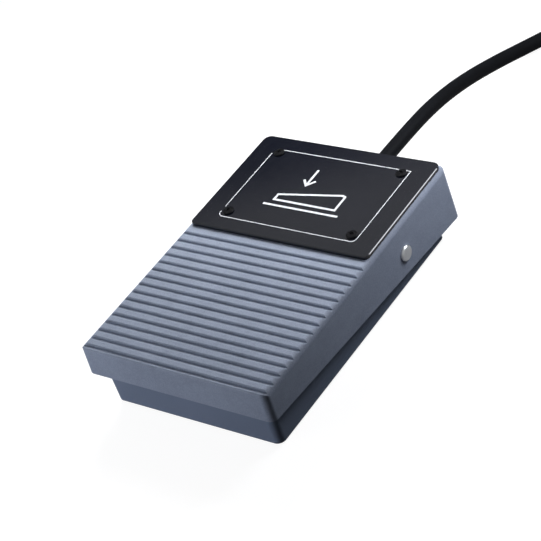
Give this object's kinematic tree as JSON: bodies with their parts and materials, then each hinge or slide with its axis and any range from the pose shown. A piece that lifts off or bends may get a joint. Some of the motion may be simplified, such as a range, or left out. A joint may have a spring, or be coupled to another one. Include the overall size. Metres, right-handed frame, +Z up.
{
  "type": "foot pedal switch",
  "caption": "Small USB foot pedal switch: a ribbed grey treadle hinged on a cross pin over a dark base tray, with a black name plate and a black cable with its coil and plug.",
  "frame": {"origin": "on the floor, under the middle of the treadle's length and width", "axes": "+Z up, +Y to the rear where the cable leaves, +X to the user's right"},
  "size_m": [0.0858, 0.3155, 0.0264],
  "materials": {
    "treadle_plastic": "satin",
    "plate_gloss": "gloss",
    "base_plastic": "satin",
    "black_screw": "satin",
    "steel": "satin",
    "nickel": "polished",
    "black_rubber": "matte",
    "bush_nylon": "satin",
    "switch_black": "satin",
    "switch_red": "satin",
    "brass_tin": "satin",
    "board_green": "satin",
    "chip_black": "matte",
    "tinned_can": "polished",
    "white_nylon": "satin",
    "wire_red": "satin",
    "wire_white": "satin",
    "wire_green": "satin",
    "wire_black": "satin",
    "cable_pvc": "satin",
    "gold": "polished"
  },
  "bodies": {
    "base": {"left_pivot_bush": "bush_nylon", "right_pivot_bush": "bush_nylon", "base_housing": "base_plastic", "bottom_plate": "steel", "bottom_plate_screws": "steel", "rubber_mat": "black_rubber", "down_stop_pads": "black_rubber", "up_stop_pads": "black_rubber", "switch_case": "switch_black", "switch_cover": "switch_black", "contact_blade": "brass_tin", "common_terminal": "brass_tin", "open_terminal": "brass_tin", "closed_terminal": "brass_tin", "circuit_board": "board_green", "board_screws": "steel", "controller_chip": "chip_black", "crystal": "tinned_can", "board_passives": "chip_black", "board_connector": "white_nylon", "wire_plug": "white_nylon", "wire_red": "wire_red", "wire_white": "wire_white", "wire_green": "wire_green", "wire_black": "wire_black", "cable_gland": "black_rubber", "cable_inner_end": "cable_pvc", "cable_clamp": "base_plastic", "clamp_screws": "steel", "usb_cable": "cable_pvc", "cable_coil": "cable_pvc", "cable_tail": "cable_pvc", "cable_tie": "black_rubber", "plug_overmould": "cable_pvc", "plug_shell": "nickel", "plug_tongue": "white_nylon", "plug_contacts": "gold"},
    "treadle": {"pedal": "treadle_plastic", "name_plate": "plate_gloss", "plate_screws": "black_screw", "pivot_pin": "nickel", "retaining_clips": "steel", "return_spring": "steel"},
    "lever": {"switch_lever": "steel"},
    "plunger": {"switch_plunger": "switch_red"}
  },
  "joints": [
    {"name": "pedal_pivot", "type": "hinge", "parent": "base", "child": "treadle", "pos_m": [0, 0.0213, 0.0146], "axis": [1, 0, 0], "range_deg": [0, 4], "stiffness_Nm_per_rad": 2.3, "springref_deg": -4.01, "deforming": ["return_spring"]},
    {"name": "lever_pivot", "type": "hinge", "parent": "base", "child": "lever", "pos_m": [0, 0.0085, 0.01815], "axis": [1, 0, 0], "range_deg": [0, 8.46]},
    {"name": "plunger_slide", "type": "slide", "parent": "base", "child": "plunger", "axis": [0, 0, -1], "range_m": [0, 0.0006], "deforming": ["contact_blade"]}
  ],
  "couplings": [
    {"joint": "lever_pivot", "follows": "pedal_pivot", "ratio": 2.113},
    {"joint": "plunger_slide", "follows": "pedal_pivot", "m_per_rad": 0.008352}
  ]
}
